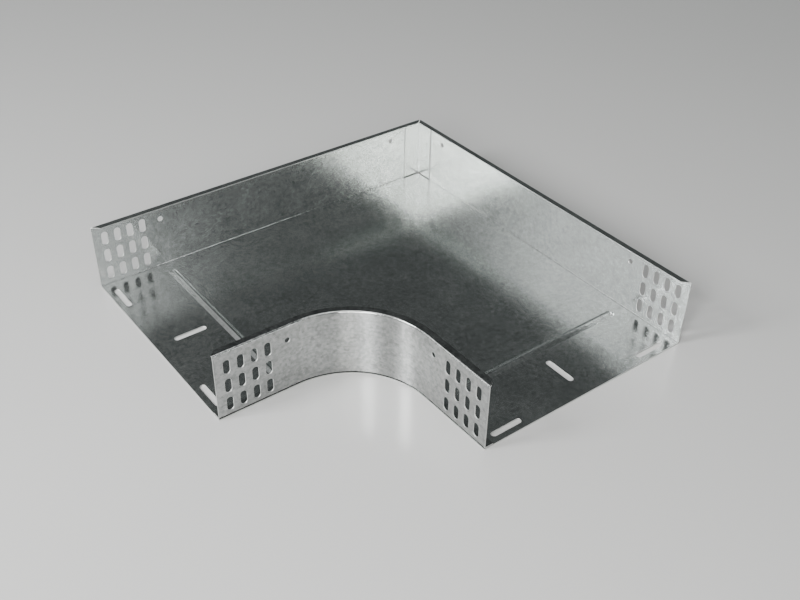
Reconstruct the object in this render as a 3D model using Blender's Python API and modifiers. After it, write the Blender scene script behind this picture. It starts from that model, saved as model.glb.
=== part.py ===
"""Horizontal 90 degree cable tray bend, made of zinc-coated sheet steel.

The floor and the two straight outer side walls are folded from one blank.  The inner
side wall is a channel rolled to the bend radius.  It stands on the edge of the floor.
A folded angle closes the outer corner.  Both are spot-welded to the folded tray.

Z is up.  The origin is the middle of the underside's square outline.  Leg A opens
toward -X and leg B toward -Y, so the outer corner is at +X, +Y.  Everything that lies
on leg A has its twin on leg B, mirrored about the diagonal plane X = Y.
"""
import math

import bmesh
import bpy
from mathutils import Matrix, Vector

# Driving dimensions, in metres
TRAY_WIDTH = 0.300
TRAY_HEIGHT = 0.085
SHEET = 0.00125
BEND_RADIUS = 0.100
STRAIGHT = 0.100
FOLD_RADIUS = 0.001
WELD_GAP = 0.0003

# Side walls: top flanges turned inward, and the floor flange of the inner wall
FLANGE_WIDTH = 0.009
FLOOR_FLANGE_WIDTH = 0.012
FLANGE_CUT_START = 0.0016
MITRE_GAP = 0.0016
CORNER_CUT = 0.0026
RELIEF_RADIUS = 0.0035

# Coupling holes at each end of each side wall
SLOT_WIDTH = 0.008
SLOT_LENGTH = 0.018
SLOT_PITCH = 0.0165
ROW_PITCH = 0.025
SLOT_COLUMNS = 4
SLOT_ROWS = 3
SLOT_FROM_END = 0.015
SLOT_FIELD_DROP = 0.002

# Round holes below the top flanges
HOLE_DIAMETER = 0.0065
HOLE_BELOW_TOP = 0.0195
HOLE_FROM_END = 0.089
HOLE_FROM_CORNER = 0.0535

# Long slots in the floor at each end
FLOOR_SLOT_WIDTH = 0.007
FLOOR_SLOT_LENGTH = 0.041
FLOOR_SLOT_FROM_END = 0.011
FLOOR_SLOT_FROM_WALL = 0.040
MIDDLE_SLOT_FROM_END = 0.045

# Pressed bead across the floor of each leg
BEAD_WIDTH = 0.012
BEAD_HEIGHT = 0.0018
BEAD_FROM_END = 0.0875
BEAD_FROM_OUTER_WALL = 0.020
BEAD_FROM_INNER_WALL = 0.020

# Angle inside the outer corner
ANGLE_LEG = 0.026

# Fineness of the round forms, in facets
FOLD_FACETS = 4
SLOT_END_FACETS = 8
BEND_FACETS = 32
HOLE_FACETS = 20
BEAD_FACETS = 32
SMOOTH_BELOW = math.radians(35)

# Values that follow from the dimensions above
OUTER_WIDTH = TRAY_WIDTH + 2 * SHEET
HEIGHT = TRAY_HEIGHT + 2 * SHEET
HALF = (OUTER_WIDTH + BEND_RADIUS + STRAIGHT) / 2
INNER_FACE = HALF - OUTER_WIDTH
BEND_CENTRE = -HALF + STRAIGHT
OUTSIDE_RADIUS = FOLD_RADIUS + SHEET
CUT = 0.010
ACROSS_WALL = Matrix.Rotation(math.pi / 2, 4, "X")
UPRIGHT = Matrix.Rotation(math.pi / 2, 4, "Z")

PARTS = "cable_tray_bend"
CUTTERS = "cable_tray_bend_cutters"


def clear_scene():
    for old in list(bpy.data.objects):
        bpy.data.objects.remove(old, do_unlink=True)


def new_collection(name):
    collection = bpy.data.collections.new(name)
    bpy.context.scene.collection.children.link(collection)
    return collection


def add_object(name, bm, collection):
    """Turn a bmesh into an object of the given collection."""
    bmesh.ops.recalc_face_normals(bm, faces=bm.faces[:])
    mesh = bpy.data.meshes.new(name)
    bm.to_mesh(mesh)
    bm.free()
    obj = bpy.data.objects.new(name, mesh)
    bpy.data.collections[collection].objects.link(obj)
    if collection == CUTTERS:
        obj.hide_render = True
        obj.display_type = "WIRE"
    return obj


def zinc(name, colour, roughness):
    """Bare zinc coating: a metal with a fairly sharp gloss."""
    material = bpy.data.materials.new(name)
    material.use_nodes = True
    shader = material.node_tree.nodes["Principled BSDF"]
    shader.inputs["Base Color"].default_value = (*colour, 1.0)
    shader.inputs["Metallic"].default_value = 1.0
    shader.inputs["Roughness"].default_value = roughness
    return material


def smooth_folds(obj):
    obj.data.shade_smooth()
    obj.data.set_sharp_from_angle(angle=SMOOTH_BELOW)


def boolean(obj, other, operation):
    modifier = obj.modifiers.new(f"{operation.lower()} {other.name}", "BOOLEAN")
    modifier.operation = operation
    modifier.solver = "EXACT"
    modifier.object = other


def on_leg_b(place):
    """The matrix that carries a placement on leg A to its twin on leg B."""
    swap = Matrix(((0, 1, 0, 0), (1, 0, 0, 0), (0, 0, 1, 0), (0, 0, 0, 1)))
    return swap @ place


def on_both_legs(places):
    return places + [on_leg_b(place) for place in places]


def sized_box(size):
    box = bmesh.new()
    bmesh.ops.create_cube(box, size=1.0)
    bmesh.ops.scale(box, vec=Vector(size), verts=box.verts[:])
    return box


def add_box(bm, size, place):
    add_to(bm, sized_box(size), place)


def add_slot(bm, length, width, place):
    """A bar with round ends, 2 * CUT deep, that punches a slot."""
    slot = sized_box((length, width, 2 * CUT))
    upright = [e for e in slot.edges if abs(e.verts[0].co.z - e.verts[1].co.z) > CUT]
    bmesh.ops.bevel(slot, geom=upright, offset=width / 2, segments=SLOT_END_FACETS // 2,
                    profile=0.5, affect="EDGES", clamp_overlap=True)
    bmesh.ops.remove_doubles(slot, verts=slot.verts[:], dist=1e-6)
    add_to(bm, slot, place)


def add_cylinder(bm, radius, depth, facets, place):
    drum = bmesh.new()
    bmesh.ops.create_cone(drum, cap_ends=True, segments=facets, radius1=radius,
                          radius2=radius, depth=depth)
    add_to(bm, drum, place)


def add_to(bm, piece, place):
    """Add a small bmesh to a larger one, at a place."""
    bmesh.ops.transform(piece, matrix=place, verts=piece.verts[:])
    bmesh.ops.recalc_face_normals(piece, faces=piece.faces[:])
    mesh = bpy.data.meshes.new("scratch")
    piece.to_mesh(mesh)
    piece.free()
    bm.from_mesh(mesh)
    bpy.data.meshes.remove(mesh)


def folded_section(corners):
    """Closed outline of a sheet folded at the inner corners of a 2D path.

    The path is the outer skin, and the sheet lies on its left.
    """
    points = [Vector(corner) for corner in corners]
    outer = []
    inner = []
    for i, point in enumerate(points):
        last = len(points) - 1
        ahead = (points[min(i + 1, last)] - points[min(i, last - 1)]).normalized()
        left = Vector((-ahead.y, ahead.x))
        if i in (0, last):
            outer.append(point)
            inner.append(point + SHEET * left)
            continue
        behind = (point - points[i - 1]).normalized()
        left_behind = Vector((-behind.y, behind.x))
        centre = point + OUTSIDE_RADIUS * (left + left_behind)
        for k in range(FOLD_FACETS + 1):
            turn = k / FOLD_FACETS * math.pi / 2
            away = -(math.cos(turn) * left_behind) - math.sin(turn) * left
            outer.append(centre + OUTSIDE_RADIUS * away)
            inner.append(centre + FOLD_RADIUS * away)
    return outer + inner[::-1]


def wire_loop(bm, points):
    """A closed loop of edges through 3D points."""
    verts = [bm.verts.new(point) for point in points]
    return [bm.edges.new((verts[i - 1], verts[i])) for i in range(len(verts))]


def extruded(bm, edges, vector):
    """Extrude a loop of edges along a vector and return the new loop."""
    grown = bmesh.ops.extrude_edge_only(bm, edges=edges)["geom"]
    verts = [item for item in grown if isinstance(item, bmesh.types.BMVert)]
    bmesh.ops.translate(bm, vec=vector, verts=verts)
    return [item for item in grown if isinstance(item, bmesh.types.BMEdge)]


def slot_places(wall_y):
    """Places of the coupling slots on a side wall of leg A, upright on the wall."""
    middle = HEIGHT / 2 - SLOT_FIELD_DROP
    places = []
    for column in range(SLOT_COLUMNS):
        x = -HALF + SLOT_FROM_END + column * SLOT_PITCH
        for row in range(SLOT_ROWS):
            z = middle + (row - (SLOT_ROWS - 1) / 2) * ROW_PITCH
            places.append(Matrix.Translation((x, wall_y, z)) @ ACROSS_WALL @ UPRIGHT)
    return places


def hole_place(x, wall_y):
    return Matrix.Translation((x, wall_y, HEIGHT - HOLE_BELOW_TOP)) @ ACROSS_WALL


def wall_cutter(name, wall_y, hole_xs):
    """All the slots and round holes of the walls that stand at wall_y on leg A."""
    bm = bmesh.new()
    for place in on_both_legs(slot_places(wall_y)):
        add_slot(bm, SLOT_LENGTH, SLOT_WIDTH, place)
    for place in on_both_legs([hole_place(x, wall_y) for x in hole_xs]):
        add_cylinder(bm, HOLE_DIAMETER / 2, 2 * CUT, HOLE_FACETS, place)
    return add_object(name, bm, CUTTERS)


def folded_skin():
    """Outer skin of the floor, the two outer walls and their flanges, folded up."""
    bm = bmesh.new()
    weights = bm.edges.layers.float.new("bevel_weight_edge")
    bmesh.ops.create_grid(bm, x_segments=1, y_segments=1, size=HALF)
    walled = [e for e in bm.edges if all(v.co.x > 0 for v in e.verts)
              or all(v.co.y > 0 for v in e.verts)]
    tops = extruded(bm, walled, Vector((0, 0, HEIGHT)))
    rims = extruded(bm, tops, Vector((0, 0, 0)))
    for vert in {v for e in rims for v in e.verts}:
        vert.co.x += FLANGE_WIDTH if vert.co.x < 0 else -FLANGE_WIDTH
        vert.co.y += FLANGE_WIDTH if vert.co.y < 0 else -FLANGE_WIDTH
    bmesh.ops.recalc_face_normals(bm, faces=bm.faces[:])
    floor = min(bm.faces, key=lambda face: face.calc_center_median().z)
    if floor.normal.z > 0:
        bmesh.ops.reverse_faces(bm, faces=bm.faces[:])
    for edge in walled + tops:
        edge[weights] = 1.0
    mesh = bpy.data.meshes.new("tray_body")
    bm.to_mesh(mesh)
    bm.free()
    return mesh


def bead_cutter(name, radius, cut_height=None):
    """Both beads as lying bars with round ends, kept only above cut_height if it is given."""
    centre_z = SHEET + BEAD_HEIGHT - bead_radius()
    length = OUTER_WIDTH - BEAD_FROM_OUTER_WALL - BEAD_FROM_INNER_WALL - BEAD_WIDTH
    centre_y = HALF - BEAD_FROM_OUTER_WALL - BEAD_WIDTH / 2 - length / 2
    bm = bmesh.new()
    leg_a_place = Matrix.Translation((-HALF + BEAD_FROM_END, centre_y, centre_z))
    for place in on_both_legs([leg_a_place]):
        bar = bmesh.new()
        bmesh.ops.create_uvsphere(bar, u_segments=BEAD_FACETS, v_segments=BEAD_FACETS // 2,
                                  radius=radius)
        bmesh.ops.rotate(bar, cent=(0, 0, 0), matrix=ACROSS_WALL.to_3x3(), verts=bar.verts[:])
        waist = [e for e in bar.edges if all(abs(v.co.y) < radius / 100 for v in e.verts)]
        bmesh.ops.split_edges(bar, edges=waist)
        for side in (1, -1):
            end = {v for f in bar.faces if side * f.calc_center_median().y > 0 for v in f.verts}
            bmesh.ops.translate(bar, vec=(0, side * length / 2, 0), verts=list(end))
        open_edges = [e for e in bar.edges if e.is_boundary]
        bmesh.ops.bridge_loops(bar, edges=open_edges)
        if cut_height is not None:
            level = (0, 0, cut_height - centre_z)
            everything = bar.verts[:] + bar.edges[:] + bar.faces[:]
            bmesh.ops.bisect_plane(bar, geom=everything, plane_co=level, plane_no=(0, 0, 1),
                                   clear_inner=True)
            bmesh.ops.holes_fill(bar, edges=[e for e in bar.edges if e.is_boundary])
        add_to(bm, bar, place)
    return add_object(name, bm, CUTTERS)


def bead_radius():
    """Radius of the arc that is BEAD_WIDTH wide and BEAD_HEIGHT high."""
    return ((BEAD_WIDTH / 2) ** 2 + BEAD_HEIGHT ** 2) / (2 * BEAD_HEIGHT)


def bend_notch_cutter():
    """The space inside the bend, which leaves the floor's inner edge."""
    side = INNER_FACE + HALF + CUT
    bm = bmesh.new()
    middle = -HALF - CUT + side / 2
    box = sized_box((side, side, 2 * CUT))
    corner = [e for e in box.edges if all(v.co.x > 0 and v.co.y > 0 for v in e.verts)]
    bmesh.ops.bevel(box, geom=corner, offset=BEND_RADIUS, segments=BEND_FACETS, profile=0.5,
                    affect="EDGES")
    add_to(bm, box, Matrix.Translation((middle, middle, 0)))
    return add_object("bend_notch", bm, CUTTERS)


def corner_cutters():
    """The open corner between the two outer walls, its fold relief and the flange mitre."""
    column = bmesh.new()
    side = CORNER_CUT + CUT
    middle = HALF - CORNER_CUT + side / 2
    add_box(column, (side, side, HEIGHT + 2 * CUT),
            Matrix.Translation((middle, middle, HEIGHT / 2)))
    relief = bmesh.new()
    centre = HALF - CORNER_CUT
    add_cylinder(relief, RELIEF_RADIUS, 2 * (OUTSIDE_RADIUS + CUT), HOLE_FACETS,
                 Matrix.Translation((centre, centre, -CUT)))
    mitre = bmesh.new()
    reach = 4 * FLANGE_WIDTH
    turn = Matrix.Rotation(math.pi / 4, 4, "Z")
    add_box(mitre, (reach, MITRE_GAP, 2 * OUTSIDE_RADIUS),
            Matrix.Translation((HALF, HALF, HEIGHT)) @ turn)
    return [add_object("open_corner", column, CUTTERS),
            add_object("fold_relief", relief, CUTTERS),
            add_object("flange_mitre", mitre, CUTTERS)]


def floor_slot_cutter():
    bm = bmesh.new()
    end_x = -HALF + FLOOR_SLOT_FROM_END
    middle_y = (HALF + INNER_FACE) / 2
    places = [
        Matrix.Translation((end_x, HALF - FLOOR_SLOT_FROM_WALL, 0)) @ UPRIGHT,
        Matrix.Translation((end_x, INNER_FACE + FLOOR_SLOT_FROM_WALL, 0)) @ UPRIGHT,
        Matrix.Translation((-HALF + MIDDLE_SLOT_FROM_END, middle_y, 0)),
    ]
    for place in on_both_legs(places):
        add_slot(bm, FLOOR_SLOT_LENGTH, FLOOR_SLOT_WIDTH, place)
    return add_object("floor_slots", bm, CUTTERS)


def build_tray_body():
    """Floor, outer walls and flanges: one folded blank, with its holes and beads."""
    body = bpy.data.objects.new("tray_body", folded_skin())
    bpy.data.collections[PARTS].objects.link(body)
    folds = body.modifiers.new("folds", "BEVEL")
    folds.limit_method = "WEIGHT"
    folds.width = OUTSIDE_RADIUS
    folds.segments = FOLD_FACETS
    gauge = body.modifiers.new("sheet", "SOLIDIFY")
    gauge.thickness = SHEET
    gauge.offset = -1.0
    gauge.use_even_offset = True
    boolean(body, bead_cutter("bead_domes", bead_radius(), SHEET / 2), "UNION")
    boolean(body, bead_cutter("bead_hollows", bead_radius() - SHEET), "DIFFERENCE")
    boolean(body, bend_notch_cutter(), "DIFFERENCE")
    for cutter in corner_cutters():
        boolean(body, cutter, "DIFFERENCE")
    boolean(body, wall_cutter("outer_wall_holes", HALF,
                              (-HALF + HOLE_FROM_END, HALF - HOLE_FROM_CORNER)), "DIFFERENCE")
    boolean(body, floor_slot_cutter(), "DIFFERENCE")
    body.data.materials.append(zinc("tray_zinc", (0.60, 0.62, 0.61), 0.24))
    smooth_folds(body)
    return body


def build_inner_side_wall():
    """Channel with both flanges turned into the tray, straight, curved and straight again."""
    foot = SHEET + WELD_GAP
    section = folded_section([(FLANGE_WIDTH, HEIGHT), (0, HEIGHT), (0, foot),
                              (FLOOR_FLANGE_WIDTH, foot)])
    bm = bmesh.new()
    loop = wire_loop(bm, [(-HALF, INNER_FACE + p.x, p.y) for p in section])
    loop = extruded(bm, loop, Vector((STRAIGHT, 0, 0)))
    centre = Vector((BEND_CENTRE, BEND_CENTRE, 0))
    step = Matrix.Rotation(-math.pi / 2 / BEND_FACETS, 3, "Z")
    for _ in range(BEND_FACETS):
        loop = extruded(bm, loop, Vector((0, 0, 0)))
        ring = {vert for edge in loop for vert in edge.verts}
        bmesh.ops.rotate(bm, cent=centre, matrix=step, verts=list(ring))
    extruded(bm, loop, Vector((0, -STRAIGHT, 0)))
    bmesh.ops.holes_fill(bm, edges=[e for e in bm.edges if e.is_boundary])
    wall = add_object("inner_side_wall", bm, PARTS)
    boolean(wall, wall_cutter("inner_wall_holes", INNER_FACE, (-HALF + HOLE_FROM_END,)),
            "DIFFERENCE")
    boolean(wall, flange_end_cutter(), "DIFFERENCE")
    wall.data.materials.append(zinc("inner_wall_zinc", (0.58, 0.60, 0.59), 0.26))
    smooth_folds(wall)
    return wall


def flange_end_cutter():
    """Cuts the inner wall's top flange at 45 degrees at both ends."""
    bm = bmesh.new()
    reach = 4 * FLANGE_WIDTH
    slant = Matrix.Rotation(math.pi / 4, 4, "Z")
    aside = Matrix.Translation((0, reach / 2, 0))
    start = (-HALF, INNER_FACE + FLANGE_CUT_START, HEIGHT)
    place = Matrix.Translation(start) @ slant @ aside
    for end in on_both_legs([place]):
        add_box(bm, (reach, reach, 2 * OUTSIDE_RADIUS), end)
    return add_object("flange_ends", bm, CUTTERS)


def build_corner_angle():
    """Folded angle spot-welded inside the outer corner, between floor and flange folds."""
    corner = HALF - SHEET - WELD_GAP
    section = folded_section([(corner - ANGLE_LEG, corner), (corner, corner),
                              (corner, corner - ANGLE_LEG)][::-1])
    low = SHEET + FOLD_RADIUS + WELD_GAP
    high = HEIGHT - SHEET - FOLD_RADIUS - WELD_GAP
    bm = bmesh.new()
    loop = wire_loop(bm, [(p.x, p.y, low) for p in section])
    extruded(bm, loop, Vector((0, 0, high - low)))
    bmesh.ops.holes_fill(bm, edges=[e for e in bm.edges if e.is_boundary])
    angle = add_object("corner_angle", bm, PARTS)
    angle.data.materials.append(zinc("corner_angle_zinc", (0.62, 0.63, 0.61), 0.24))
    smooth_folds(angle)
    return angle


clear_scene()
new_collection(PARTS)
new_collection(CUTTERS)
build_tray_body()
build_inner_side_wall()
build_corner_angle()
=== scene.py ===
import math

import bmesh
import bpy
from mathutils import Matrix, Vector


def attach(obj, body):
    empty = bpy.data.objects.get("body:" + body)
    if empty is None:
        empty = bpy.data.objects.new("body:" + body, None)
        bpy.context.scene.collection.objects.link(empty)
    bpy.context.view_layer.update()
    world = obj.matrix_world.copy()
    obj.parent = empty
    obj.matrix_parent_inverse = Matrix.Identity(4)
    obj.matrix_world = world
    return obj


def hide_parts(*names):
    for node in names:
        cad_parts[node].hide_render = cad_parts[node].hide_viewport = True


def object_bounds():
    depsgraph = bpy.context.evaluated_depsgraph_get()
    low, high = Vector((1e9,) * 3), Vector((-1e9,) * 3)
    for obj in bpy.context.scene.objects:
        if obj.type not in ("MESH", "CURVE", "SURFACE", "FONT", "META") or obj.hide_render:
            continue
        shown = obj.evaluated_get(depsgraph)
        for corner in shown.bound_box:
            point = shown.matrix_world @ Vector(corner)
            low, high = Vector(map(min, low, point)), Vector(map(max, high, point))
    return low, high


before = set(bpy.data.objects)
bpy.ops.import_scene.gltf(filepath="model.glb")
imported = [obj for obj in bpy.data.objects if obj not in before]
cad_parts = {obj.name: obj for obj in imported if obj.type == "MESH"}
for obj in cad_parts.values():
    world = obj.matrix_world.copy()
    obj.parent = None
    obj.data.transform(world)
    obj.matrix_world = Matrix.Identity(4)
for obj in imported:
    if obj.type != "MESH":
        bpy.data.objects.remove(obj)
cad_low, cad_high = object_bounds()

SHEET = 0.00125
INSIDE_RADIUS = 0.001
FOLD_RADIUS = INSIDE_RADIUS + SHEET
FOLD_STEPS = 8
NEAR = 0.00002
OVERALL = cad_high.x - cad_low.x
HALF = OVERALL / 2
HEIGHT = cad_high.z - cad_low.z
OUTER_WIDTH = 0.3025
STRAIGHT = 0.100
BEND_RADIUS = OVERALL - OUTER_WIDTH - STRAIGHT
INNER_FACE = HALF - OUTER_WIDTH
FLANGE = 0.009


def select(kind, test, add=False):
    """In edit mode, select the vertices, edges or faces that lie wholly where test says."""
    bpy.ops.mesh.select_mode(type=kind)
    if not add:
        bpy.ops.mesh.select_all(action="DESELECT")
    mesh = bmesh.from_edit_mesh(bpy.context.object.data)
    items = {"VERT": mesh.verts, "EDGE": mesh.edges, "FACE": mesh.faces}[kind]
    for item in items:
        corners = [item] if kind == "VERT" else item.verts
        if all(test(corner.co) for corner in corners):
            item.select_set(True)
    bmesh.update_edit_mesh(bpy.context.object.data)


def extrude(offset):
    """Extrude what is selected and move the new part by the offset."""
    bpy.ops.mesh.extrude_region_move(TRANSFORM_OT_translate={"value": offset})


def round_off(radius, steps):
    """Give the selected edges that radius, in so many steps."""
    bpy.ops.mesh.bevel(offset=radius, segments=steps, profile=0.5, affect="EDGES",
                       clamp_overlap=False)


def start(name, add, stretch=(1, 1, 1), **how):
    """Add a primitive of that name, stretched along its own axes, and go into edit mode."""
    bpy.ops.object.select_all(action="DESELECT")
    add(**how)
    piece = bpy.context.object
    piece.name = name
    piece.scale = stretch
    bpy.ops.object.transform_apply(location=True, rotation=True, scale=True)
    bpy.ops.object.mode_set(mode="EDIT")
    return piece


def finish_with(piece, kind, **settings):
    """Give the piece one modifier and apply it."""
    modifier = piece.modifiers.new(kind.lower(), kind)
    for key, value in settings.items():
        setattr(modifier, key, value)
    bpy.context.view_layer.objects.active = piece
    bpy.ops.object.modifier_apply(modifier=modifier.name)


def sheet_from(skin):
    """Give the open skin the sheet's thickness, with a second material on its edges."""
    skin.data.materials.append(None)
    skin.data.materials.append(None)
    finish_with(skin, "SOLIDIFY", thickness=SHEET, offset=-1, use_even_offset=True,
                material_offset_rim=1)


def cut(piece, tool):
    """Cut the piece with the tool, whose faces leave edges in the second material."""
    for face in tool.data.polygons:
        face.material_index = 1
    finish_with(piece, "BOOLEAN", operation="DIFFERENCE", solver="EXACT", object=tool)
    bpy.data.objects.remove(tool)


tray = start("folded_tray", bpy.ops.mesh.primitive_plane_add, size=OVERALL)
bpy.ops.mesh.flip_normals()
select("EDGE", lambda p: p.x > HALF - NEAR)
select("EDGE", lambda p: p.y > HALF - NEAR, add=True)
extrude((0, 0, HEIGHT))
extrude((0, 0, 0))
inward = (HALF - FLANGE) / HALF
bpy.ops.transform.resize(value=(inward, inward, 1), center_override=(0, 0, 0))


def on_fold(p):
    """A test for the two folds along the floor and the two under the flanges."""
    level = min(abs(p.z), abs(p.z - HEIGHT)) < NEAR
    return level and max(p.x, p.y) > HALF - NEAR


select("EDGE", on_fold)
round_off(FOLD_RADIUS, FOLD_STEPS)

# The two beads are stiffening ribs, pressed up out of the floor across each leg.
# The floor is divided only round them, and each strip is lifted to the rib's round
# section, so the hollow below follows when the sheet gets its thickness.
BEAD_HALF_WIDTH = 0.006
BEAD_HEIGHT = 0.0018
BEAD_FROM_WALLS = 0.020
BEAD_FROM_END = 0.0875
BEAD_MIDDLE = -HALF + BEAD_FROM_END
BEAD_NEAR = INNER_FACE + BEAD_FROM_WALLS + BEAD_HALF_WIDTH
BEAD_FAR = HALF - BEAD_FROM_WALLS - BEAD_HALF_WIDTH
BEAD_STRIPS = 20
BEAD_END_STRIPS = 10


def score(flip, place, test):
    """Divide the floor faces that pass the test at that distance along or across leg A."""
    select("FACE", test)
    axis = 1 if flip else 0
    point = [0, 0, 0]
    normal = [0, 0, 0]
    point[axis] = place
    normal[axis] = 1
    bpy.ops.mesh.bisect(plane_co=point, plane_no=normal)


def bead_area(swap):
    """A test for the rectangle of floor that holds the bead, on leg A or on leg B."""
    reach = BEAD_HALF_WIDTH + NEAR

    def inside(p):
        across, along = (p.y, p.x) if swap else (p.x, p.y)
        return (abs(p.z) < NEAR and abs(across - BEAD_MIDDLE) < reach
                and BEAD_NEAR - reach < along < BEAD_FAR + reach)
    return inside


def flat_floor(p):
    """A test for the flat floor inside the folds."""
    return abs(p.z) < NEAR and max(p.x, p.y) < HALF - FOLD_RADIUS + NEAR


def bead_rise(off):
    """The bead's rise at a share of its half width, with a round crest and a soft foot."""
    crest, foot = 0.35, 0.65
    fall = crest / 2 + (foot - crest) + (1 - foot) / 2
    past = max(off - foot, 0.0)
    fallen = min(off, crest) ** 2 / (2 * crest) + max(min(off, foot) - crest, 0.0)
    fallen += past - past ** 2 / (2 * (1 - foot))
    return 1 - fallen / fall


for swap in (False, True):
    for side in (-1, 1):
        score(swap, BEAD_MIDDLE + side * BEAD_HALF_WIDTH, flat_floor)
    for place in (BEAD_NEAR - BEAD_HALF_WIDTH, BEAD_FAR + BEAD_HALF_WIDTH):
        score(not swap, place, flat_floor)
for swap in (False, True):
    inside = bead_area(swap)
    for strip in range(1, BEAD_STRIPS):
        score(swap, BEAD_MIDDLE + BEAD_HALF_WIDTH * (2 * strip / BEAD_STRIPS - 1), inside)
    for strip in range(BEAD_END_STRIPS):
        outward = BEAD_HALF_WIDTH * strip / BEAD_END_STRIPS
        score(not swap, BEAD_NEAR - outward, inside)
        score(not swap, BEAD_FAR + outward, inside)
sheet = bmesh.from_edit_mesh(tray.data)
for swap in (False, True):
    inside = bead_area(swap)
    for vert in sheet.verts:
        if inside(vert.co):
            across, along = (vert.co.y, vert.co.x) if swap else (vert.co.x, vert.co.y)
            past_end = max(BEAD_NEAR - along, along - BEAD_FAR, 0.0)
            off = min(math.hypot(across - BEAD_MIDDLE, past_end) / BEAD_HALF_WIDTH, 1.0)
            vert.co.z = BEAD_HEIGHT * bead_rise(off)
bmesh.update_edit_mesh(tray.data)
bpy.ops.object.mode_set(mode="OBJECT")
sheet_from(tray)

# The blank was cut before it was folded: the round inside of the bend, the open corner
# with its fold relief, and the mitre between the two flanges.
NOTCH_STEPS = 96
RELIEF_SIDES = 48
CORNER_CUT = 0.0026
RELIEF_RADIUS = 0.0035
MITRE = 0.0016
THROUGH = 0.010


def box(name, low, high):
    """A box between two corners, left in edit mode."""
    middle = [(a + b) / 2 for a, b in zip(low, high)]
    size = [b - a for a, b in zip(low, high)]
    return start(name, bpy.ops.mesh.primitive_cube_add, size, size=1, location=middle)


outside = -HALF - THROUGH
notch = box("bend_notch", (outside, outside, -THROUGH), (INNER_FACE, INNER_FACE, THROUGH))
select("EDGE", lambda p: min(p.x, p.y) > INNER_FACE - NEAR)
round_off(BEND_RADIUS, NOTCH_STEPS)
bpy.ops.object.mode_set(mode="OBJECT")
cut(tray, notch)

corner = HALF - CORNER_CUT
column = box("open_corner", (corner, corner, -THROUGH),
             (HALF + THROUGH, HALF + THROUGH, HEIGHT + THROUGH))
bpy.ops.object.mode_set(mode="OBJECT")
cut(tray, column)
relief = start("fold_relief", bpy.ops.mesh.primitive_cylinder_add, vertices=RELIEF_SIDES,
               radius=RELIEF_RADIUS, depth=2 * FOLD_RADIUS + THROUGH,
               location=(corner, corner, -THROUGH / 2))
bpy.ops.object.mode_set(mode="OBJECT")
cut(tray, relief)
mitre = start("flange_mitre", bpy.ops.mesh.primitive_cube_add,
              (4 * FLANGE, MITRE, 2 * FOLD_RADIUS), size=1, location=(HALF, HALF, HEIGHT),
              rotation=(0, 0, math.pi / 4))
bpy.ops.object.mode_set(mode="OBJECT")
cut(tray, mitre)

# Coupling slots, round holes and long floor slots, all punched.  The punch leaves
# the edge of each hole slightly rounded, so each punch here is waisted.
RIM = 0.0002
PUNCH_SIDES = 32
SLOT_WIDTH, SLOT_LENGTH = 0.008, 0.018
SLOT_FROM_END, SLOT_PITCH, SLOT_COLUMNS = 0.015, 0.0165, 4
ROWS_BELOW_MIDDLE, ROW_PITCH = 0.002, 0.025
SLOT_ROW_MIDDLE = HEIGHT / 2 - ROWS_BELOW_MIDDLE
HOLE_WIDTH, HOLE_BELOW_TOP = 0.0065, 0.0195
HOLE_HEIGHT = HEIGHT - HOLE_BELOW_TOP
HOLE_FROM_END, HOLE_FROM_CORNER = 0.089, 0.0535
FLOOR_SLOT_WIDTH, FLOOR_SLOT_LENGTH = 0.007, 0.041
FLOOR_SLOT_FROM_END, FLOOR_SLOT_FROM_WALL = 0.011, 0.040
MIDDLE_SLOT_FROM_END = 0.045

STAND_UP = Matrix.Rotation(math.pi / 2, 4, "X")
TURN = Matrix.Rotation(math.pi / 2, 4, "Z")
SWAP_LEGS = Matrix(((0, 1, 0, 0), (1, 0, 0, 0), (0, 0, 1, 0), (0, 0, 0, 1)))


def punch(name, width, length):
    """A waisted punch for a sheet whose middle is at z = 0, long along X."""
    waist = SHEET - 2 * RIM
    past = 2 * RIM
    tool = start(name, bpy.ops.mesh.primitive_cylinder_add, vertices=PUNCH_SIDES,
                 radius=width / 2, depth=waist, rotation=(0, 0, math.pi / PUNCH_SIDES))
    wider = 1 + 2 * past / width
    for side in (-1, 1):
        select("FACE", lambda p: side * p.z > waist / 2 - NEAR)
        extrude((0, 0, side * past))
        bpy.ops.transform.resize(value=(wider, wider, 1), center_override=(0, 0, 0))
    for side in (-1, 1):
        select("VERT", lambda p: side * p.x > 0)
        bpy.ops.transform.translate(value=(side * (length - width) / 2, 0, 0))
    bpy.ops.object.mode_set(mode="OBJECT")
    return tool


def punch_all(piece, tool, places):
    """Punch the piece at each place, on leg A and in its mirror image on leg B."""
    tools = []
    for place in places + [SWAP_LEGS @ place for place in places]:
        copy = bpy.data.objects.new("punches", tool.data.copy())
        bpy.context.collection.objects.link(copy)
        copy.data.transform(place)
        tools.append(copy)
    bpy.ops.object.select_all(action="DESELECT")
    for copy in tools:
        copy.select_set(True)
    bpy.context.view_layer.objects.active = tools[0]
    bpy.ops.object.join()
    joined = bpy.context.object
    bpy.ops.object.mode_set(mode="EDIT")
    bpy.ops.mesh.select_all(action="SELECT")
    bpy.ops.mesh.normals_make_consistent(inside=False)
    bpy.ops.object.mode_set(mode="OBJECT")
    cut(piece, joined)


def slots_on_wall(wall_middle):
    """Places of the twelve coupling slots on a wall of leg A, from its end inward."""
    places = []
    for column in range(SLOT_COLUMNS):
        for row in (-1, 0, 1):
            spot = (-HALF + SLOT_FROM_END + column * SLOT_PITCH, wall_middle,
                    SLOT_ROW_MIDDLE + row * ROW_PITCH)
            places.append(Matrix.Translation(spot) @ STAND_UP @ TURN)
    return places


def hole_on_wall(x, wall_middle):
    """Place of a round hole under the flange of a wall of leg A."""
    return Matrix.Translation((x, wall_middle, HOLE_HEIGHT)) @ STAND_UP


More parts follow.
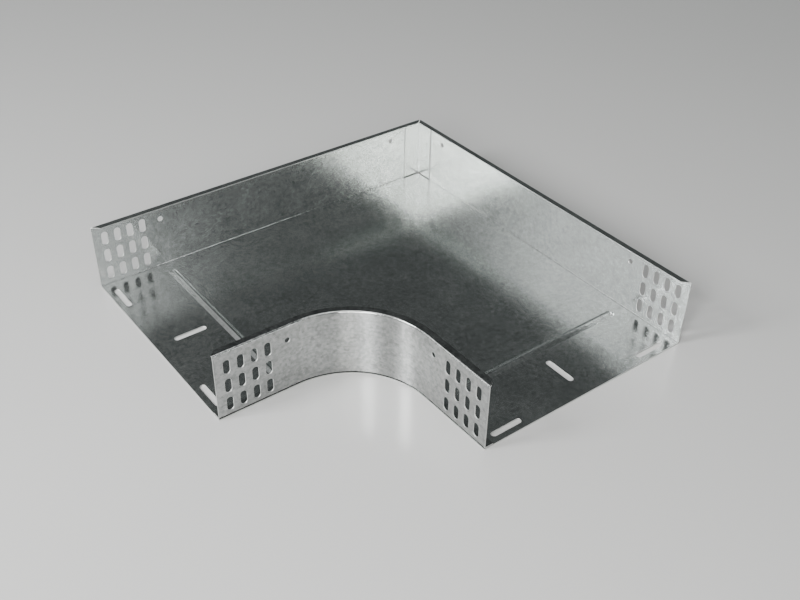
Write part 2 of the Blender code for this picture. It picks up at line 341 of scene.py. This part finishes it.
slot_punch = punch("slot_punch", SLOT_WIDTH, SLOT_LENGTH)
hole_punch = punch("hole_punch", HOLE_WIDTH, HOLE_WIDTH)
floor_punch = punch("floor_punch", FLOOR_SLOT_WIDTH, FLOOR_SLOT_LENGTH)
outer_wall = HALF - SHEET / 2
floor_middle = SHEET / 2
end_slot_x = -HALF + FLOOR_SLOT_FROM_END
middle_slot_x = -HALF + MIDDLE_SLOT_FROM_END
inner_slot_y = INNER_FACE + FLOOR_SLOT_FROM_WALL
outer_slot_y = HALF - FLOOR_SLOT_FROM_WALL
punch_all(tray, slot_punch, slots_on_wall(outer_wall))
punch_all(tray, hole_punch, [hole_on_wall(-HALF + HOLE_FROM_END, outer_wall),
                             hole_on_wall(HALF - HOLE_FROM_CORNER, outer_wall)])
punch_all(tray, floor_punch, [
    Matrix.Translation((end_slot_x, outer_slot_y, floor_middle)) @ TURN,
    Matrix.Translation((end_slot_x, inner_slot_y, floor_middle)) @ TURN,
    Matrix.Translation((middle_slot_x, (HALF + INNER_FACE) / 2, floor_middle)),
])

SPECK = 0.000002
CREASE = math.radians(30)


def smooth_sheet(piece):
    """Merge the specks that cuts leave, and shade the folds round and the edges sharp."""
    bpy.ops.object.select_all(action="DESELECT")
    piece.select_set(True)
    bpy.context.view_layer.objects.active = piece
    bpy.ops.object.mode_set(mode="EDIT")
    bpy.ops.mesh.select_all(action="SELECT")
    bpy.ops.mesh.remove_doubles(threshold=SPECK)
    bpy.ops.object.mode_set(mode="OBJECT")
    bpy.ops.object.shade_smooth_by_angle(angle=CREASE)
    finish_with(piece, "WEIGHTED_NORMAL", keep_sharp=True, weight=100)


smooth_sheet(tray)

# Zinc coating, of the same kind on every piece: hot-dipped strip, rolled bright, with a
# faint mottle of fine crystals, fine streaks from the rolls and some dull clouds.
CRYSTAL_SCALE, CLOUD_SCALE, MOTTLE_SCALE = 300, 16, 210
CRYSTALS_IN_SHADE, MOTTLE_IN_SHADE, STREAKS_IN_SHADE = 0.45, 0.35, 0.20
DULL_CLOUDS, DULL_SHADE = 0.06, 0.08
MOTTLE_IN_RELIEF, RELIEF_DEPTH = 0.5, 0.0002


def zinc_finish():
    """A node group that gives the coating's colour, roughness and fine relief."""
    group = bpy.data.node_groups.new("zinc_coat", "ShaderNodeTree")
    face = group.interface
    face.new_socket("Light", in_out="INPUT", socket_type="NodeSocketColor")
    face.new_socket("Dark", in_out="INPUT", socket_type="NodeSocketColor")
    face.new_socket("Gloss", in_out="INPUT", socket_type="NodeSocketFloat")
    face.new_socket("Grain", in_out="INPUT", socket_type="NodeSocketVector")
    face.new_socket("Colour", in_out="OUTPUT", socket_type="NodeSocketColor")
    face.new_socket("Roughness", in_out="OUTPUT", socket_type="NodeSocketFloat")
    face.new_socket("Relief", in_out="OUTPUT", socket_type="NodeSocketFloat")
    nodes, links = group.nodes, group.links
    taken = nodes.new("NodeGroupInput")
    given = nodes.new("NodeGroupOutput")
    place = nodes.new("ShaderNodeTexCoord")

    def noise(scale, detail):
        node = nodes.new("ShaderNodeTexNoise")
        node.inputs["Scale"].default_value = scale
        node.inputs["Detail"].default_value = detail
        links.new(place.outputs["Object"], node.inputs["Vector"])
        return node.outputs["Fac"]

    def spread(value, low, high):
        node = nodes.new("ShaderNodeMapRange")
        node.inputs["From Min"].default_value = low
        node.inputs["From Max"].default_value = high
        links.new(value, node.inputs["Value"])
        return node.outputs["Result"]

    def calculate(operation, a, b):
        node = nodes.new("ShaderNodeMath")
        node.operation = operation
        for socket, value in zip(node.inputs, (a, b)):
            if isinstance(value, (int, float)):
                socket.default_value = value
            else:
                links.new(value, socket)
        return node.outputs["Value"]

    stretch = nodes.new("ShaderNodeVectorMath")
    stretch.operation = "MULTIPLY"
    links.new(place.outputs["Object"], stretch.inputs[0])
    links.new(taken.outputs["Grain"], stretch.inputs[1])
    rolled = nodes.new("ShaderNodeTexNoise")
    rolled.inputs["Scale"].default_value = 1
    rolled.inputs["Detail"].default_value = 3
    links.new(stretch.outputs["Vector"], rolled.inputs["Vector"])
    streaks = spread(rolled.outputs["Fac"], 0.30, 0.70)
    crystals = nodes.new("ShaderNodeTexVoronoi")
    crystals.inputs["Scale"].default_value = CRYSTAL_SCALE
    links.new(place.outputs["Object"], crystals.inputs["Vector"])
    grain = crystals.outputs["Color"]
    clouds = spread(noise(CLOUD_SCALE, 4), 0.35, 0.70)
    mottle = spread(noise(MOTTLE_SCALE, 3), 0.30, 0.70)
    flecks = calculate("ADD", calculate("MULTIPLY", grain, CRYSTALS_IN_SHADE),
                       calculate("MULTIPLY", mottle, MOTTLE_IN_SHADE))
    shade = calculate("ADD", flecks, calculate("MULTIPLY", streaks, STREAKS_IN_SHADE))
    tint = nodes.new("ShaderNodeMix")
    tint.data_type = "RGBA"
    links.new(shade, tint.inputs["Factor"])
    links.new(taken.outputs["Dark"], tint.inputs["A"])
    links.new(taken.outputs["Light"], tint.inputs["B"])
    links.new(tint.outputs["Result"], given.inputs["Colour"])
    dull = calculate("ADD", calculate("MULTIPLY", clouds, DULL_CLOUDS),
                     calculate("MULTIPLY", shade, DULL_SHADE))
    links.new(calculate("ADD", taken.outputs["Gloss"], dull), given.inputs["Roughness"])
    relief = calculate("ADD", calculate("MULTIPLY", mottle, MOTTLE_IN_RELIEF), flecks)
    links.new(relief, given.inputs["Relief"])
    return group


zinc_coat = zinc_finish()

sheared_edge = bpy.data.materials.new("sheared_edge")
sheared_edge.use_nodes = True
sheared_steel = sheared_edge.node_tree.nodes["Principled BSDF"]
sheared_steel.inputs["Base Color"].default_value = (0.62, 0.63, 0.62, 1)
sheared_steel.inputs["Metallic"].default_value = 1.0
sheared_steel.inputs["Roughness"].default_value = 0.42


def zinc(name, light, dark, gloss, grain, relief):
    """A zinc-coated steel, with its crystals' two shades, its gloss, streaks and relief."""
    material = bpy.data.materials.new(name)
    material.use_nodes = True
    nodes, links = material.node_tree.nodes, material.node_tree.links
    shader = nodes["Principled BSDF"]
    shader.inputs["Metallic"].default_value = 1.0
    coat = nodes.new("ShaderNodeGroup")
    coat.node_tree = zinc_coat
    coat.inputs["Light"].default_value = (*light, 1)
    coat.inputs["Dark"].default_value = (*dark, 1)
    coat.inputs["Gloss"].default_value = gloss
    coat.inputs["Grain"].default_value = grain
    bump = nodes.new("ShaderNodeBump")
    bump.inputs["Strength"].default_value = relief
    bump.inputs["Distance"].default_value = RELIEF_DEPTH
    links.new(coat.outputs["Colour"], shader.inputs["Base Color"])
    links.new(coat.outputs["Roughness"], shader.inputs["Roughness"])
    links.new(coat.outputs["Relief"], bump.inputs["Height"])
    links.new(bump.outputs["Normal"], shader.inputs["Normal"])
    return material


def dress(piece, material, slot, *nodes):
    """Paint the piece, let it ride on the one body and stand for its CAD nodes."""
    piece.data.materials[0] = material
    piece.data.materials[1] = sheared_edge
    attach(piece, "root")
    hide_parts(*nodes)


tray_zinc = zinc("tray_zinc", light=(0.61, 0.63, 0.62), dark=(0.40, 0.415, 0.41),
                 gloss=0.14, grain=(40, 900, 60), relief=0.10)
dress(tray, tray_zinc, "tray_zinc", "tray_body")

# The inner side wall is a separate channel, rolled to the bend radius, with a narrow
# flange turned in at the top and a wider one at the bottom, spot-welded to the floor.
WELD_GAP = 0.0003
FOOT = SHEET + WELD_GAP
FLOOR_FLANGE = 0.012
BEND_CENTRE = STRAIGHT - HALF
ROLL_STEPS = 96
FLANGE_START = INNER_FACE + FOLD_RADIUS
CUT_BACK = FLANGE - FOLD_RADIUS

wall = start("rolled_inner_wall", bpy.ops.mesh.primitive_plane_add,
             (STRAIGHT, HEIGHT - FOOT, 1), size=1,
             location=((BEND_CENTRE - HALF) / 2, INNER_FACE, (FOOT + HEIGHT) / 2),
             rotation=(math.pi / 2, 0, 0))
select("EDGE", lambda p: p.z > HEIGHT - NEAR)
extrude((0, FLANGE, 0))
select("EDGE", lambda p: p.z < FOOT + NEAR)
extrude((0, FLOOR_FLANGE, 0))
select("EDGE", lambda p: p.y < INNER_FACE + NEAR and p.z > HEIGHT - NEAR)
select("EDGE", lambda p: p.y < INNER_FACE + NEAR and p.z < FOOT + NEAR, add=True)
round_off(FOLD_RADIUS, FOLD_STEPS)
select("EDGE", lambda p: p.x > BEND_CENTRE - NEAR)
bpy.ops.mesh.spin(steps=ROLL_STEPS, angle=math.pi / 2, center=(BEND_CENTRE, BEND_CENTRE, 0),
                  axis=(0, 0, 1))
select("EDGE", lambda p: p.y < BEND_CENTRE + NEAR)
extrude((0, -STRAIGHT, 0))
bpy.ops.mesh.select_all(action="SELECT")
bpy.ops.mesh.remove_doubles(threshold=NEAR)


def flange_end(along, across):
    """A test for the free corner of the top flange at a leg's end, to be cut back."""
    def inside(p):
        return (p.z > HEIGHT - NEAR and p[along] < NEAR - HALF
                and p[across] > FLANGE_START + 2 * NEAR)
    return inside


select("VERT", flange_end(0, 1))
bpy.ops.transform.translate(value=(CUT_BACK, 0, 0))
select("VERT", flange_end(1, 0))
bpy.ops.transform.translate(value=(0, CUT_BACK, 0))
bpy.ops.object.mode_set(mode="OBJECT")
sheet_from(wall)
inner_wall = INNER_FACE + SHEET / 2
punch_all(wall, slot_punch, slots_on_wall(inner_wall))
punch_all(wall, hole_punch, [hole_on_wall(-HALF + HOLE_FROM_END, inner_wall)])
for tool in (slot_punch, hole_punch, floor_punch):
    bpy.data.objects.remove(tool)
smooth_sheet(wall)
# The inner wall's coat is the same zinc as the tray's, given darker shades: painted shade,
# standing in for the darker reflections the wall shows.
inner_wall_zinc = zinc("inner_wall_zinc", light=(0.53, 0.54, 0.535),
                       dark=(0.19, 0.20, 0.195), gloss=0.12, grain=(50, 50, 1400),
                       relief=0.32)
dress(wall, inner_wall_zinc, "inner_wall_zinc", "inner_side_wall")

# The corner angle is a folded strip, spot-welded inside the outer corner.  It reaches
# from just above the floor fold to just under the flanges and closes the open corner.
ANGLE_LEG = 0.026
ANGLE_FACE = HALF - SHEET - WELD_GAP
ANGLE_LOW = FOLD_RADIUS + WELD_GAP
ANGLE_HIGH = HEIGHT - ANGLE_LOW

middle_height = (ANGLE_LOW + ANGLE_HIGH) / 2
angle = start("corner_strip", bpy.ops.mesh.primitive_plane_add,
              (ANGLE_LEG, ANGLE_HIGH - ANGLE_LOW, 1), size=1,
              location=(ANGLE_FACE - ANGLE_LEG / 2, ANGLE_FACE, middle_height),
              rotation=(-math.pi / 2, 0, 0))
select("EDGE", lambda p: p.x > ANGLE_FACE - NEAR)
extrude((0, -ANGLE_LEG, 0))
select("EDGE", lambda p: p.x > ANGLE_FACE - NEAR and p.y > ANGLE_FACE - NEAR)
round_off(FOLD_RADIUS, FOLD_STEPS)
bpy.ops.object.mode_set(mode="OBJECT")
sheet_from(angle)
smooth_sheet(angle)
corner_angle_zinc = zinc("corner_angle_zinc", light=(0.60, 0.62, 0.61),
                         dark=(0.435, 0.45, 0.445), gloss=0.15, grain=(50, 50, 1400),
                         relief=0.10)
dress(angle, corner_angle_zinc, "corner_angle_zinc", "corner_angle")

# The studio: a round pale table with a satin lacquer, a backdrop that is pale at the
# horizon and dim higher up, soft boxes, and the camera where the photographer stood.
TABLE_RADIUS, TABLE_SIDES, TABLE_DROP = 3.6, 128, 0.0002
HORIZON_LIGHT, UPPER_LIGHT = 0.80, 0.10
FADE_START, FADE_END = 0.12, 0.34

bpy.ops.object.select_all(action="DESELECT")
bpy.ops.mesh.primitive_circle_add(vertices=TABLE_SIDES, radius=TABLE_RADIUS,
                                  fill_type="NGON", location=(0, 0, -TABLE_DROP))
table_top = bpy.context.object
table_top.name = "table_top"
pale = bpy.data.materials.new("pale_table")
pale.use_nodes = True
lacquer = pale.node_tree.nodes["Principled BSDF"]
lacquer.inputs["Base Color"].default_value = (0.47, 0.47, 0.465, 1)
lacquer.inputs["Roughness"].default_value = 0.25
lacquer.inputs["IOR"].default_value = 1.7
table_top.data.materials.append(pale)

world = bpy.data.worlds.new("studio")
bpy.context.scene.world = world
world.use_nodes = True
sky = world.node_tree.nodes
backdrop = sky["Background"]
backdrop.inputs["Color"].default_value = (0.92, 1.0, 0.99, 1)
direction = sky.new("ShaderNodeTexCoord")
height_of = sky.new("ShaderNodeSeparateXYZ")
fade = sky.new("ShaderNodeMapRange")
fade.interpolation_type = "SMOOTHSTEP"
for socket, amount in (("From Min", FADE_START), ("From Max", FADE_END),
                       ("To Min", HORIZON_LIGHT), ("To Max", UPPER_LIGHT)):
    fade.inputs[socket].default_value = amount
wires = world.node_tree.links
wires.new(direction.outputs["Generated"], height_of.inputs["Vector"])
wires.new(height_of.outputs["Z"], fade.inputs["Value"])
wires.new(fade.outputs["Result"], backdrop.inputs["Strength"])


def soft_box(name, bearing, height, distance, width, tall, power, colour=(1, 1, 1)):
    """A soft box aimed at the tray.  Its angles are in degrees, its sizes in metres."""
    data = bpy.data.lights.new(name, "AREA")
    data.shape = "RECTANGLE"
    data.size = width
    data.size_y = tall
    data.energy = power
    data.color = colour
    lamp = bpy.data.objects.new(name, data)
    bpy.context.collection.objects.link(lamp)
    turn, rise = math.radians(bearing), math.radians(height)
    away = Vector((math.cos(turn) * math.cos(rise), math.sin(turn) * math.cos(rise),
                   math.sin(rise)))
    lamp.location = away * distance
    lamp.rotation_euler = away.to_track_quat("Z", "Y").to_euler()
    return lamp


# Each box has its bearing from +X, its height, distance, width, upright size and watts.
soft_box("overhead_box", 52, 86, 5.0, 2.7, 2.7, 104)
soft_box("left_box", 166, 37, 2.3, 0.5, 0.8, 50)
soft_box("back_left_box", 140, 34, 2.3, 0.8, 0.8, 5.4)
soft_box("back_box", 100, 43, 2.3, 1.2, 0.5, 1.0)
soft_box("camera_box", -147, 34, 2.3, 0.45, 0.8, 46)
soft_box("corner_box", -127, 29, 2.3, 0.7, 0.6, 27, (1, 0.985, 0.95))
soft_box("right_box", -81, 38, 2.3, 0.60, 0.6, 3.3)
soft_box("right_fill", -53, 30, 2.3, 0.9, 0.7, 0.3)
soft_box("front_box", -100, 46, 2.3, 0.9, 0.5, 3.0)
soft_box("high_left_box", -173, 51, 2.3, 0.9, 0.5, 4.0)
soft_box("low_left_box", 137, 6, 3.5, 1.8, 0.38, 16.0)
soft_box("low_right_box", -58, 6, 3.5, 2.0, 0.38, 21.0)

# The lens, the place and the aim are worked out from the tray's edges in the photograph.
camera_data = bpy.data.cameras.new("camera")
camera = bpy.data.objects.new("camera", camera_data)
bpy.context.collection.objects.link(camera)
bpy.context.scene.camera = camera
camera_data.sensor_width = 36
camera_data.lens = 46.59
camera.location = (-0.59485, -0.81005, 0.7611)
FORWARD = Vector((0.4909, 0.6384, -0.5928))
RIGHT = Vector((0.7994, -0.6005, 0.0152))
UP = RIGHT.cross(FORWARD).normalized()
camera.rotation_euler = Matrix((RIGHT, UP, -FORWARD)).transposed().to_euler()
camera_data.clip_start = 0.05
camera_data.clip_end = 50
